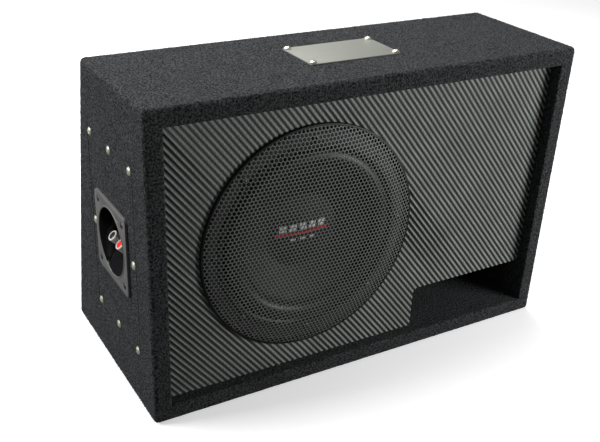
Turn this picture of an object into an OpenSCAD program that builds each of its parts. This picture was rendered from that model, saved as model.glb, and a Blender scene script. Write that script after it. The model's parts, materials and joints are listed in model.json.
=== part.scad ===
// Ported car subwoofer: a carpeted wedge cabinet with one 10-inch low-profile driver, a slot port
// and a two-post terminal cup on a screwed side panel.
// Front is -Y, the driver looks out through the front, +Z is up, the base stands on z = 0.

/* [Cabinet] */
// Outside width over the carpet
box_w = 550; // [540:5:620]
// Outside height over the carpet
box_h = 368; // [360:2:400]
// Outside depth at the bottom
box_d = 265; // [255:5:300]
// Outside depth at the top, less than at the bottom because the back leans
top_d = 184; // [176:2:210]
// Thickness of the cabinet boards
board_t = 16; // [15:1:18]
// Thickness of the front board that carries the driver
baffle_t = 18; // [17:1:20]
// Thickness of the carpet
carpet_t = 2.4; // [2:0.2:2.8]
// Depth of the front board's face behind the front edges
recess = 15.6; // [14:0.2:20]
// Thickness of the ribbed vinyl on the front board
skin_t = 1; // [0.8:0.1:1.2]

/* [Port] */
// Left inside face of the slot, from the middle of the cabinet
port_left = 81; // [78:1:100]
// Height of the slot's ceiling above the ground
port_top = 75.2; // [66:0.2:80]
// How far back the duct reaches, from the middle of the depth
port_end = 45; // [20:5:50]
// Rounding of the slot's upper inside corner
port_corner_r = 8; // [5:1:12]

/* [Driver] */
// Distance of the driver's axis from the middle, to the left
driver_left = 76.5; // [74:0.5:85]
// Outside diameter of the mounting flange
flange_d = 256; // [254:1:257]
// Bolt circle of the mounting screws
bolt_circle_d = 238; // [237:1:239]
// Number of mounting screws
bolt_count = 8; // [4:4:8]
// Diameter of the voice coil former
coil_d = 51.8; // [51.4:0.1:52]
// Outside diameter of the ferrite ring
magnet_d = 140; // [130:2:144]
// Outside diameter of the grille
grille_d = 272.8; // [270:0.2:276]
// How far the grille's face stands in front of the vinyl
grille_rise = 10.5; // [10.5:0.1:11.5]
// Radius of the grille's flat middle
grille_flat_r = 109; // [100:1:112]

/* [Terminal panel] */
// Width of the removable side panel
panel_w = 135; // [130:1:140]
// Height of the removable side panel
panel_h = 230; // [220:2:240]
// Middle of the panel behind (plus) or in front of (minus) the middle of the depth
panel_y = -28; // [-30:1:-24]
// Height of the panel's middle
panel_z = 182; // [178:1:188]
// Side of the square terminal flange
cup_w = 95; // [93:1:98]
// Diameter of the round dish
dish_d = 78; // [76:1:79]
// Spacing of the flange's four screws
cup_screw_gap = 74; // [73:0.5:76]
// Distance between the two binding posts
post_gap = 23; // [19:1:24]

/* [Badge] */
// Width of the plate on the top
badge_w = 118; // [100:1:130]
// Depth of the plate on the top
badge_d = 66; // [50:1:80]
// Thickness of the plate
badge_t = 1.2; // [1:0.1:2]

/* [Hidden] */
$fn = 96;
eps = 0.05;
slant = box_d - top_d;
lean = atan(slant / box_h);
half_w = box_w / 2;
front_y = -box_d / 2;
wall_t = board_t + carpet_t;
in_x = half_w - wall_t;
low_z = wall_t;
high_z = box_h - wall_t;
skin_y = front_y + recess;
baffle_y = skin_y + skin_t;
baffle_back_y = baffle_y + baffle_t;
port_right = in_x - carpet_t;
port_floor = low_z + carpet_t;
port_side_x = port_left - carpet_t - board_t;
shelf_z = port_top + carpet_t;
driver_z = box_h / 2;
flange_r = flange_d / 2;
bolt_r = bolt_circle_d / 2;
// Depths along the driver's axis, from the vinyl's face, positive into the cabinet
flange_front = 0.5;
flange_back = 4.5;
rebate_floor = 6;
cutout_r = 107.5;
ledge_r = 110;
ledge_u = 3;
shelf_u = 44;
plate_u = 66;
plate_t = 8;
magnet_t = 18;
former_r = coil_d / 2;
gap_r = former_r + 2.1;
pole_r = former_r - 1.5;
cone_edge_r = 86;
cone_flat_r = 82;
cone_edge_u = 4.2;
cone_neck_u = 30;
cone_t = 1.5;
cone_slope = (cone_neck_u - cone_edge_u) / (cone_flat_r - former_r);
cap_r = 46;
cap_rise = 5;
roll_u = 9.2;
roll_r = 13.4;
roll_t = 1.2;
spider_r = 72;
plate_r = 65;
lead_out_u = 32.5;
lead_out_y = 9;
lead_hole_r = 1.7;
tinsel_r = 0.9;
driver_head_r = 4.4;
driver_head_h = 2.4;
driver_shank_r = 2.1;
driver_screw_l = 16;
driver_hole_r = 2.6;
// Basket's outline, as radius and depth
basket_outline = [
    [flange_r, flange_front], [flange_r, flange_back], [106.5, flange_back], [104, 14],
    [76, shelf_u], [68, 62], [plate_r, plate_u], [30, plate_u], [30, 62], [63, 62],
    [72, shelf_u + 3], [62, shelf_u + 3], [62, shelf_u], [73, shelf_u], [100.5, 14],
    [102.5, 7], [102.5, ledge_u], [ledge_r, ledge_u], [ledge_r, flange_front]
];
// Access panel and its battens
batten_w = 22;
batten_lap = 12;
panel_gap = 0.4;
foam_t = 1.5;
panel_t = board_t - foam_t;
panel_screw_y = panel_w / 2 - 7.5;
panel_screw_z = panel_h / 2 - 7;
panel_head_r = 4.8;
panel_head_h = 2.8;
panel_shank_r = 1.9;
panel_screw_l = 30;
panel_hole_r = 2.2;
// Terminal cup, with depths from the flange's outer face
cup_flange_t = 3;
cup_gasket_t = 1;
gasket_inset = 2;
cup_face_x = -half_w - cup_flange_t;
dish_depth = 38;
cup_wall = 2.5;
slope_z = -dish_d / 2;
foot_in = 23.2;
post_x = cup_face_x + foot_in;
post_z = panel_z + slope_z + foot_in;
post_y = [panel_y + post_gap / 2, panel_y - post_gap / 2];
cup_head_r = 3.7;
cup_head_h = 2.2;
cup_shank_r = 1.45;
cup_screw_l = 15;
cup_hole_r = 2.1;
// Binding posts, with heights above the sloping floor
stud_r = 3;
stud_low = -14;
stud_high = 17.5;
post_slip = 0.05;
bush_r = 6.6;
bush_h = 5;
bush_neck_r = 4.3;
collar_r = 6.2;
collar_h = 2;
wire_hole_r = 1.3;
wire_hole_z = 8.7;
washer_z = 10.3;
washer_t = 1;
cap_bore_r = stud_r + 0.04;
post_cap_r = 6.4;
cap_z = washer_z + washer_t;
cap_h = 13.6;
cap_bore_top = 21;
insert_r = 4.55;
insert_z = 22.9;
insert_t = 1.7;
tab_z = -9;
tab_t = 0.9;
tab_w = 5;
tab_l = 12;
nut_h = 4;
nut_r = 5.77;
badge_y = front_y + top_d / 2;
badge_screw_x = badge_w / 2 - 4.5;
badge_screw_y = badge_d / 2 - 4.5;
badge_head_r = 4.3;
badge_head_h = 3.1;
badge_shank_r = 1.25;
badge_screw_l = 16;
joint_gap = 0.1;
cup_corner_r = 7;
screw_sink = 1;
cup_bore_r = dish_d / 2 + cup_wall + 0.8;
// Routes of the two leads, from the cup's solder tabs to the driver's tabs
lead_r = 1.8;
black_route = [
    [-249, -4.5, 160], [-249, 2, 160], [-246, 10, 155], [-240, 14, 145], [-230, 12, 132],
    [-218, 4, 120], [-206, -10, 113], [-198, -26, 114], [-193, -42, 124], [-190, -56, 140],
    [-187, -66, 157], [-182, -70, 169], [-178, -70, 175], [-173.5, -70, 175]
];
red_route = [
    [-249, -51.5, 160], [-249, -58, 160], [-246, -65, 154], [-240, -70, 145], [-230, -74, 136],
    [-218, -76, 133], [-207, -76, 140], [-201, -75, 155], [-197, -73, 171], [-191, -71, 185],
    [-184, -70, 192], [-178, -70, 193], [-173.5, -70, 193]
];

// ---- Cabinet boards ----

// Depth of the leaning back at height z, d inside the carpet's outer face
function back_y(z, d) = box_d / 2 - z * slant / box_h - d / cos(lean);

// Extrudes an outline drawn in Y and Z along X
module along_x(x0, x1) {
    translate([x0, 0, 0]) rotate([90, 0, 90]) linear_extrude(x1 - x0) children();
}

// Extrudes an outline drawn in X and Z along Y
module along_y(y0, y1) {
    translate([0, y1, 0]) rotate([90, 0, 0]) linear_extrude(y1 - y0) children();
}

// Side outline of the wedge, d inside the outer face
module wedge_outline(d) {
    polygon([
        [front_y + d, d], [back_y(d, d), d],
        [back_y(box_h - d, d), box_h - d], [front_y + d, box_h - d]
    ]);
}

// Board between the sides that ends against the back board's inner face
module flat_board(z0, z1) {
    along_x(-in_x, in_x) polygon([
        [front_y + carpet_t, z0], [back_y(z0, wall_t), z0],
        [back_y(z1, wall_t), z1], [front_y + carpet_t, z1]
    ]);
}

module panel_window(grow) {
    translate([panel_y - panel_w / 2 - grow, panel_z - panel_h / 2 - grow])
        square([panel_w + 2 * grow, panel_h + 2 * grow]);
}

module left_side_panel() {
    color("burlywood") along_x(-half_w + carpet_t, -in_x) difference() {
        wedge_outline(carpet_t);
        panel_window(panel_gap);
    }
}

module right_side_panel() {
    color("burlywood") along_x(in_x, half_w - carpet_t) wedge_outline(carpet_t);
}

module top_panel() {
    color("burlywood") difference() {
        flat_board(high_z, box_h - carpet_t);
        badge_places() translate([0, 0, -17]) cylinder(r = 1.3, h = 20);
    }
}

module bottom_panel() {
    color("burlywood") flat_board(carpet_t, low_z);
}

module back_panel() {
    color("burlywood") along_x(-in_x, in_x) polygon([
        [back_y(carpet_t, wall_t), carpet_t], [back_y(carpet_t, carpet_t), carpet_t],
        [back_y(box_h - carpet_t, carpet_t), box_h - carpet_t],
        [back_y(box_h - carpet_t, wall_t), box_h - carpet_t]
    ]);
}

// Front outline between the boards, with the slot port's notch at the lower right
module baffle_outline(right, bottom) {
    r = port_corner_r;
    difference() {
        translate([-right, bottom]) square([2 * right, box_h - 2 * bottom]);
        translate([port_left + r, 0]) square([half_w, port_top]);
        translate([port_left, 0]) square([half_w, port_top - r]);
        translate([port_left + r, port_top - r]) circle(r = r);
        difference() {
            translate([right - r, port_top]) square([r + 1, r]);
            translate([right - r, port_top + r]) circle(r = r);
        }
    }
}

module baffle() {
    color("burlywood") difference() {
        along_y(baffle_y, baffle_back_y) baffle_outline(in_x, low_z);
        on_driver() {
            translate([0, 0, -1]) cylinder(r = cutout_r, h = baffle_t + 5);
            cylinder(r = flange_r + 1, h = rebate_floor);
            bolt_places() cylinder(r = 2.15, h = skin_t + baffle_t - 1);
        }
    }
}

module baffle_skin() {
    color("dimgray") difference() {
        along_y(skin_y, baffle_y) baffle_outline(port_right, port_floor);
        on_driver() translate([0, 0, -1]) cylinder(r = flange_r + 1, h = skin_t + 2);
    }
}

module port_shelf() {
    color("burlywood") translate([port_side_x, baffle_back_y, shelf_z])
        cube([in_x - port_side_x, port_end - baffle_back_y, board_t]);
}

module port_side() {
    color("burlywood") translate([port_side_x, baffle_back_y, low_z])
        cube([board_t, port_end - baffle_back_y, shelf_z - low_z]);
}

// Carpet that lines the duct: a tube behind the front board, floor and right wall in its notch
module port_lining() {
    color("#26282a") {
        along_y(baffle_back_y, port_end) difference() {
            translate([port_side_x + board_t, low_z])
                square([in_x - port_side_x - board_t, shelf_z - low_z]);
            port_clear();
        }
        along_y(baffle_y, baffle_back_y) difference() {
            translate([port_left, low_z]) square([in_x - port_left, port_top - low_z]);
            port_clear();
        }
    }
}

module port_clear() {
    translate([port_left, port_floor]) square([port_right - port_left, port_top - port_floor]);
}

// Glue battens behind the front board's upper and right edges
module baffle_battens() {
    color("tan") {
        translate([-in_x, baffle_back_y, high_z - board_t]) cube([2 * in_x, board_t, board_t]);
        translate([in_x - board_t, baffle_back_y, shelf_z + board_t])
            cube([board_t, board_t, high_z - shelf_z - 2 * board_t - joint_gap]);
    }
}

// ---- Carpet ----

module top_carpet() {
    z0 = box_h - carpet_t;
    color("#3c3f41") difference() {
        along_x(-half_w, half_w) polygon([
            [front_y + carpet_t, z0], [back_y(z0, 0), z0],
            [back_y(box_h, 0), box_h], [front_y + carpet_t, box_h]
        ]);
        badge_places() translate([0, 0, -5]) cylinder(r = 1.6, h = 10);
    }
}

module bottom_carpet() {
    color("#3c3f41") along_x(-half_w, half_w) polygon([
        [front_y + carpet_t, 0], [back_y(0, 0), 0],
        [back_y(carpet_t, 0), carpet_t], [front_y + carpet_t, carpet_t]
    ]);
}

// Side sheet between the top and bottom sheets
module side_sheet_outline() {
    polygon([
        [front_y + carpet_t, carpet_t], [back_y(carpet_t, carpet_t), carpet_t],
        [back_y(box_h - carpet_t, carpet_t), box_h - carpet_t],
        [front_y + carpet_t, box_h - carpet_t]
    ]);
}

module left_carpet() {
    color("#35383a") along_x(-half_w, -half_w + carpet_t) difference() {
        side_sheet_outline();
        panel_window(panel_gap);
    }
}

module right_carpet() {
    color("#35383a") along_x(half_w - carpet_t, half_w) side_sheet_outline();
}

module back_carpet() {
    color("#35383a") along_x(-half_w, half_w) polygon([
        [back_y(carpet_t, carpet_t), carpet_t], [back_y(carpet_t, 0), carpet_t],
        [back_y(box_h - carpet_t, 0), box_h - carpet_t],
        [back_y(box_h - carpet_t, carpet_t), box_h - carpet_t]
    ]);
}

// Carpet over the boards' front edges, turned in as far as the vinyl
module front_edge_carpet() {
    color("#2b2d2f") difference() {
        union() {
            translate([-half_w, front_y, 0]) cube([box_w, carpet_t, box_h]);
            translate([-in_x, front_y, low_z]) cube([2 * in_x, baffle_y - front_y, high_z - low_z]);
        }
        translate([-port_right, front_y - 1, port_floor])
            cube([2 * port_right, recess + 3, box_h - 2 * port_floor]);
    }
}

// ---- Removable side panel ----

// Eight screw places: three along the top and bottom edges, two at the middle
module panel_screw_places() {
    for (row = [-1, 0, 1], column = [-1, 0, 1])
        if (row != 0 || column != 0)
            translate([-half_w, panel_y + column * panel_screw_y, panel_z + row * panel_screw_z])
                rotate([0, 90, 0]) children();
}

module cup_screw_places() {
    for (sy = [-1, 1], sz = [-1, 1])
        translate([cup_face_x, panel_y + sy * cup_screw_gap / 2, panel_z + sz * cup_screw_gap / 2])
            rotate([0, 90, 0]) children();
}

module cup_axis() {
    translate([cup_face_x, panel_y, panel_z]) rotate([0, 90, 0]) children();
}

module access_panel() {
    color("burlywood") difference() {
        along_x(-half_w + carpet_t, -half_w + carpet_t + panel_t) panel_window(0);
        cup_axis() cylinder(r = cup_bore_r, h = 60);
        panel_screw_places() cylinder(r = panel_hole_r, h = 40);
        cup_screw_places() cylinder(r = 1.5, h = 40);
    }
}

// Carpet with a pocket for the cup's gasket
module access_carpet() {
    pocket_w = cup_w - 2 * gasket_inset + 2 * joint_gap;
    color("#35383a") difference() {
        along_x(-half_w, -half_w + carpet_t) panel_window(0);
        along_x(-half_w - 1, -half_w + cup_gasket_t)
            translate([panel_y - pocket_w / 2, panel_z - pocket_w / 2]) square(pocket_w);
        cup_axis() cylinder(r = cup_bore_r, h = 60);
        panel_screw_places() translate([0, 0, -1]) cylinder(r = panel_head_r + 0.2, h = 1 + screw_sink);
        panel_screw_places() cylinder(r = panel_hole_r, h = 40);
        cup_screw_places() cylinder(r = cup_hole_r, h = 40);
    }
}

module access_gasket() {
    x0 = -in_x - foam_t;
    color("#202020") difference() {
        along_x(x0, -in_x) difference() {
            panel_window(-0.2);
            panel_window(-batten_lap);
        }
        panel_screw_places() cylinder(r = 2.4, h = 40);
    }
}

// Four battens behind the window's edges, cut back to clear the front board and the leaning back
module access_battens() {
    front = max(panel_y - panel_w / 2 - batten_w + batten_lap, baffle_back_y + joint_gap);
    inner_h = panel_h - 2 * batten_lap;
    top_z = panel_z + inner_h / 2 + batten_w;
    rear = min(panel_y + panel_w / 2 + batten_w - batten_lap, back_y(top_z, wall_t) - joint_gap);
    color("tan") difference() {
        along_x(-in_x, -in_x + board_t) {
            for (s = [-1, 1]) translate([front, panel_z + s * (inner_h + batten_w) / 2 - batten_w / 2])
                square([rear - front, batten_w]);
            translate([front, panel_z - inner_h / 2 + joint_gap])
                square([panel_y - panel_w / 2 + batten_lap - front, inner_h - 2 * joint_gap]);
            translate([rear - batten_w, panel_z - inner_h / 2 + joint_gap])
                square([batten_w, inner_h - 2 * joint_gap]);
        }
        panel_screw_places() cylinder(r = panel_shank_r + eps, h = 33);
    }
}

// Round-headed screw along +Z with the head's seat at z = 0
module round_screw(head_r, head_h, shank_r, length) {
    rim_h = head_h * 0.35;
    dome_h = head_h - rim_h;
    dome_r = (head_r * head_r + dome_h * dome_h) / (2 * dome_h);
    translate([0, 0, -rim_h]) cylinder(r = head_r, h = rim_h);
    rotate_extrude() intersection() {
        translate([0, dome_r - head_h]) circle(r = dome_r);
        translate([0, -head_h]) square([head_r, dome_h]);
    }
    cylinder(r = shank_r, h = length);
}

module access_screws() {
    color("#9aa08e") panel_screw_places() translate([0, 0, screw_sink])
        round_screw(panel_head_r, panel_head_h, panel_shank_r, panel_screw_l);
}

module terminal_gasket() {
    color("#1c1c1c") along_x(-half_w - eps, -half_w + cup_gasket_t - eps) difference() {
        translate([panel_y - cup_w / 2 + gasket_inset, panel_z - cup_w / 2 + gasket_inset])
            square(cup_w - 2 * gasket_inset);
        translate([panel_y, panel_z]) circle(r = dish_d / 2 + cup_wall + 1);
        for (sy = [-1, 1], sz = [-1, 1])
            translate([panel_y + sy * cup_screw_gap / 2, panel_z + sz * cup_screw_gap / 2])
                circle(r = cup_hole_r);
    }
}

// Square flange, round dish with a floor that slopes up at 45 degrees and carries the posts
module terminal_cup() {
    r = cup_corner_r;
    half = cup_w / 2;
    body_r = dish_d / 2 + cup_wall;
    depth = dish_depth + cup_wall;
    color("#55554f") difference() {
        union() {
            along_x(cup_face_x, cup_face_x + cup_flange_t - eps)
                for (sy = [-1, 1], sz = [-1, 1]) {
                    translate([panel_y + sy * (half - r), panel_z + sz * (half - r)]) circle(r = r);
                    translate([panel_y - half + r, panel_z - half]) square([cup_w - 2 * r, cup_w]);
                    translate([panel_y - half, panel_z - half + r]) square([cup_w, cup_w - 2 * r]);
                }
            intersection() {
                cup_axis() cylinder(r = body_r, h = depth);
                above_slope(cup_wall * sqrt(2));
            }
        }
        intersection() {
            cup_axis() translate([0, 0, -1]) cylinder(r = dish_d / 2, h = dish_depth + 1);
            above_slope(0);
        }
        cup_screw_places() translate([0, 0, -1]) cylinder(r = 1.9, h = 10);
        cup_screw_places() translate([0, 0, -1]) cylinder(r = 4, h = 2.2);
        for (y = post_y) on_post(y) translate([0, 0, -8]) cylinder(r = 4.4, h = 16);
    }
}

// Half space above the dish's sloping floor, lowered by drop
module above_slope(drop) {
    size = 200;
    translate([cup_face_x, panel_y, panel_z + slope_z - drop])
        rotate([0, -45, 0]) translate([-size / 2, -size / 2, 0]) cube(size);
}

module terminal_screws() {
    color("#181818") cup_screw_places() translate([0, 0, 1.2])
        round_screw(cup_head_r, cup_head_h, cup_shank_r, cup_screw_l);
}

// ---- Binding posts, along +Z outward from the sloping floor ----

module on_post(y) {
    translate([post_x, y, post_z]) rotate([0, -45, 0]) children();
}

module ring(r_in, r_out, z0, z1) {
    translate([0, 0, z0]) difference() {
        cylinder(r = r_out, h = z1 - z0);
        translate([0, 0, -1]) cylinder(r = r_in, h = z1 - z0 + 2);
    }
}

module stud(y) {
    color("silver") on_post(y) difference() {
        union() {
            translate([0, 0, stud_low]) cylinder(r = stud_r, h = stud_high - stud_low);
            translate([0, 0, bush_h]) cylinder(r = collar_r, h = collar_h);
        }
        translate([-10, 0, wire_hole_z]) rotate([0, 90, 0]) cylinder(r = wire_hole_r, h = 20);
    }
}

module bush(y, tint) {
    color(tint) on_post(y) {
        ring(stud_r + post_slip, bush_r, 0, bush_h - eps);
        ring(stud_r + post_slip, bush_neck_r, -cup_wall, 0);
    }
}

module black_stud() { stud(post_y[0]); }
module red_stud() { stud(post_y[1]); }
module black_bush() { bush(post_y[0], "#161616"); }
module red_bush() { bush(post_y[1], "#b01818"); }

module post_nuts() {
    color("silver") for (y = post_y) on_post(y) {
        ring(stud_r + post_slip, 5.2, -cup_wall - 1.5, -cup_wall - 0.1);
        translate([0, 0, tab_z + tab_t + post_slip]) difference() {
            cylinder(r = nut_r, h = nut_h, $fn = 6);
            translate([0, 0, -1]) cylinder(r = stud_r + post_slip, h = nut_h + 2);
        }
    }
}

module solder_tabs() {
    color("gold") for (side = [0, 1]) on_post(post_y[side]) difference() {
        union() {
            translate([0, 0, tab_z]) cylinder(r = tab_w, h = tab_t);
            translate([-tab_w / 2, side == 0 ? 0 : -tab_l, tab_z]) cube([tab_w, tab_l, tab_t]);
        }
        translate([0, 0, tab_z - 1]) cylinder(r = stud_r + post_slip, h = 4);
    }
}

module clamp_washer(y) {
    color("silver") on_post(y) ring(cap_bore_r + post_slip, collar_r, washer_z, cap_z);
}

module black_washer() { clamp_washer(post_y[0]); }
module red_washer() { clamp_washer(post_y[1]); }

module cap_shell(y) {
    color("#c9c4b8") on_post(y) difference() {
        translate([0, 0, cap_z + eps]) cylinder(r = post_cap_r, h = cap_h - eps);
        translate([0, 0, washer_z]) cylinder(r = cap_bore_r, h = cap_bore_top - washer_z);
        translate([0, 0, insert_z]) cylinder(r = insert_r + 0.05, h = 3);
    }
}

module cap_insert(y, tint) {
    color(tint) on_post(y) translate([0, 0, insert_z]) cylinder(r = insert_r, h = insert_t);
}

module black_cap() { cap_shell(post_y[0]); }
module red_cap() { cap_shell(post_y[1]); }
module black_insert() { cap_insert(post_y[0], "#141414"); }
module red_insert() { cap_insert(post_y[1], "#e01010"); }

// ---- Leads from the terminal cup to the driver ----

function unit(v) = v / norm(v);
function mean(v, i) = (v[i] + v[i + 1]) / 2;
// One round of corner cutting that keeps the two ends
function smoothed(v) = [
    v[0],
    for (i = [0:len(v) - 2]) each [v[i] * 0.75 + v[i + 1] * 0.25, v[i] * 0.25 + v[i + 1] * 0.75],
    v[len(v) - 1]
];
function heading(v, i) = unit(v[min(i + 1, len(v) - 1)] - v[max(i - 1, 0)]);

// Round tube swept along a route, with flat closed ends
module tube(route, r, up = [0.31, 0.2, 0.93], sides = 8) {
    n = len(route);
    points = [
        for (i = [0:n - 1])
            let (t = heading(route, i), a = unit(cross(t, up)), b = cross(t, a))
            for (k = [0:sides - 1])
                route[i] + r * (cos(360 * k / sides) * a + sin(360 * k / sides) * b)
    ];
    walls = [
        for (i = [0:n - 2], k = [0:sides - 1])
            let (m = (k + 1) % sides)
            each [[i * sides + k, (i + 1) * sides + k, (i + 1) * sides + m],
                [i * sides + k, (i + 1) * sides + m, i * sides + m]]
    ];
    polyhedron(points, concat(
        walls,
        [[for (k = [0:sides - 1]) k]],
        [[for (k = [sides - 1:-1:0]) (n - 1) * sides + k]]
    ));
}

module black_lead() { color("#101010") tube(smoothed(black_route), lead_r); }
module red_lead() { color("#a01010") tube(smoothed(red_route), lead_r); }

// ---- Driver, with Z along its axis into the cabinet and z = 0 at the vinyl's face ----

module on_driver() {
    translate([-driver_left, skin_y, driver_z]) rotate([-90, 0, 0]) children();
}

module bolt_places() {
    for (i = [0:bolt_count - 1]) rotate(i * 360 / bolt_count) translate([bolt_r, 0, 0]) children();
}

// Die-cast basket: flange, windowed cone and the seat on the top plate
module basket() {
    spokes = 6;
    color("#2a2a2a") on_driver() difference() {
        rotate_extrude() polygon(basket_outline);
        bolt_places() cylinder(r = driver_hole_r, h = 10);
        for (side = [-1, 1]) translate([-95, side * lead_out_y, lead_out_u])
            rotate([0, 90, 0]) cylinder(r = lead_hole_r, h = 20);
        for (i = [0:spokes - 1]) rotate((i + 0.5) * 360 / spokes) {
            translate([50, -30, 17]) cube([60, 60, 24]);
            translate([50, -20, 49]) cube([30, 40, 11]);
        }
    }
}

module basket_gasket() {
    color("#1a1a1a") on_driver() difference() {
        ring(108, flange_r - 0.5, flange_back, rebate_floor);
        bolt_places() cylinder(r = driver_hole_r, h = 10);
    }
}

module trim_ring() {
    color("#1a1a1a") on_driver() ring(ledge_r + 0.2, 114, -1.5, flange_front);
}

module top_plate() {
    color("#3a3a3a") on_driver() ring(gap_r, plate_r, plate_u, plate_u + plate_t);
}

module magnet() {
    color("#1e1e1e") on_driver() ring(34, magnet_d / 2, plate_u + plate_t, plate_u + plate_t + magnet_t);
}

module yoke() {
    base_u = plate_u + plate_t + magnet_t;
    color("#3a3a3a") on_driver() difference() {
        union() {
            translate([0, 0, base_u]) cylinder(r = plate_r, h = plate_t);
            translate([0, 0, plate_u]) cylinder(r = pole_r, h = base_u - plate_u + 1);
        }
        translate([0, 0, plate_u - 1]) cylinder(r = 9, h = 60);
    }
}

// Plastic block with two tabs on the spoke that faces the terminal cup
module driver_terminals() {
    color("#202020") on_driver() {
        translate([-91, -14, shelf_u + 1]) cube([15.2, 28, 4]);
        for (side = [-1, 1]) translate([-97, side * lead_out_y - tab_w / 2, shelf_u + 2.6])
            cube([6, tab_w, 0.8]);
    }
}

module driver_screws() {
    color("#111111") on_driver() bolt_places()
        translate([0, 0, flange_front])
            round_screw(driver_head_r, driver_head_h, driver_shank_r, driver_screw_l);
}

// ---- Moving parts of the driver ----

module cone() {
    color("#141414") on_driver() rotate_extrude() polygon([
        [cone_edge_r, cone_edge_u], [cone_flat_r, cone_edge_u], [former_r + eps, cone_neck_u],
        [former_r + eps, cone_neck_u + 2], [cone_flat_r - 0.6, cone_edge_u + cone_t + cone_slope * 0.6],
        [cone_edge_r, cone_edge_u + cone_t]
    ]);
}

// Shallow domed cap glued on the cone
module dust_cap() {
    seat_u = cone_edge_u + (cone_flat_r - cap_r) * cone_slope;
    dome_r = (cap_r * cap_r + cap_rise * cap_rise) / (2 * cap_rise);
    color("#161616") on_driver() rotate_extrude() intersection() {
        difference() {
            translate([0, seat_u - cap_rise + dome_r]) circle(r = dome_r, $fn = 360);
            translate([0, seat_u - cap_rise + dome_r]) circle(r = dome_r - 0.8, $fn = 360);
        }
        translate([0, seat_u - cap_rise - 1]) square([cap_r, cap_rise + 0.9]);
    }
}

module coil_former() {
    color("#b8b8b8") on_driver() ring(former_r - 0.6, former_r, 24, 83);
}

module voice_coil() {
    color("#b87333") on_driver() ring(former_r + eps, former_r + 1.2, 58, 82);
}

// Half-roll edge between the cone and the basket's ledge
module surround() {
    mid_r = (cone_flat_r + ledge_r) / 2;
    color("#181818") on_driver() rotate_extrude() {
        intersection() {
            difference() {
                translate([mid_r, roll_u]) circle(r = roll_r);
                translate([mid_r, roll_u]) circle(r = roll_r - roll_t);
            }
            translate([80, -20]) square([40, 20 + ledge_u]);
        }
        translate([cone_flat_r, ledge_u]) square([cone_edge_r - cone_flat_r, 1.1]);
        translate([107, ledge_u - 1.1]) square([2.9, 1.05]);
    }
}

// Corrugated disc that centres the coil
module spider() {
    waves = 6;
    inner = former_r + 0.1;
    steps = waves * 4;
    function wave_r(i) = inner + (spider_r - inner) * i / steps;
    function wave_u(i) = shelf_u - 2 + 1.1 * sin(90 * i) * (i > 1 && i < steps - 2 ? 1 : 0);
    color("#c8a050") on_driver() {
        rotate_extrude() polygon([
            for (i = [0:steps]) [wave_r(i), wave_u(i) - 0.4],
            for (i = [steps:-1:0]) [wave_r(i), wave_u(i) + 0.4]
        ]);
        ring(spider_r - 9.5, spider_r, shelf_u - 1.55, shelf_u - 0.1);
    }
}

// Braided leads from the cone, out through the basket's spoke to the driver's tabs
module tinsel_leads() {
    color("#c0c0c0") for (side = [-1, 1]) on_driver() tube(smoothed([
        [-40, side * 6, 26.5], [-46, side * 6.5, 32], [-54, side * 7.5, 36.5],
        [-62, side * 8.5, 36], [-70, side * lead_out_y, 33],
        [-76, side * lead_out_y, lead_out_u], [-91, side * lead_out_y, lead_out_u],
        [-94.5, side * lead_out_y, 36], [-94.5, side * lead_out_y, shelf_u + 2.5]
    ]), tinsel_r);
}

// ---- Grille ----

module grille() {
    rim = grille_d / 2;
    top_u = -grille_rise;
    color("#202020") on_driver() rotate_extrude() polygon([
        [0, top_u], [grille_flat_r, top_u], [rim - 3.4, -3.4], [rim - 1, -2], [rim, 0], [rim - 1.1, 0],
        [rim - 1.8, -1.2], [rim - 3.8, -2.4], [grille_flat_r - 0.2, top_u + 1], [0, top_u + 1]
    ]);
}

module grille_ring() {
    rim = grille_d / 2;
    color("#101010") on_driver() rotate_extrude() polygon([
        [flange_r + 1.8, 0], [rim - 2, 0], [rim - 2.6, -0.9], [rim - 4.4, -1.9], [flange_r + 1.8, -1.9]
    ]);
}

// ---- Badge on the top ----

module badge_places() {
    for (sx = [-1, 1], sy = [-1, 1])
        translate([sx * badge_screw_x, badge_y + sy * badge_screw_y, box_h]) children();
}

module badge_plate() {
    color("#b8b8b0") difference() {
        translate([-badge_w / 2, badge_y - badge_d / 2, box_h]) cube([badge_w, badge_d, badge_t]);
        badge_places() translate([0, 0, -1]) cylinder(r = 1.8, h = 5);
    }
}

module badge_screws() {
    color("#d8c8a8") badge_places()
        translate([0, 0, badge_t]) mirror([0, 0, 1])
            round_screw(badge_head_r, badge_head_h, badge_shank_r, badge_screw_l);
}

left_side_panel();
right_side_panel();
top_panel();
bottom_panel();
back_panel();
baffle();
baffle_skin();
port_shelf();
port_side();
port_lining();
baffle_battens();
top_carpet();
bottom_carpet();
left_carpet();
right_carpet();
back_carpet();
front_edge_carpet();
access_panel();
access_carpet();
access_gasket();
access_battens();
access_screws();
terminal_cup();
terminal_gasket();
terminal_screws();
black_stud();
red_stud();
black_bush();
red_bush();
post_nuts();
solder_tabs();
black_washer();
red_washer();
black_cap();
red_cap();
black_insert();
red_insert();
black_lead();
red_lead();
basket();
basket_gasket();
trim_ring();
top_plate();
magnet();
yoke();
driver_terminals();
driver_screws();
cone();
dust_cap();
coil_former();
voice_coil();
surround();
spider();
tinsel_leads();
grille();
grille_ring();
badge_plate();
badge_screws();
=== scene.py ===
import json
import math
import random

import bmesh
import bpy
import numpy as np
from mathutils import Matrix, Vector, noise


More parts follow.
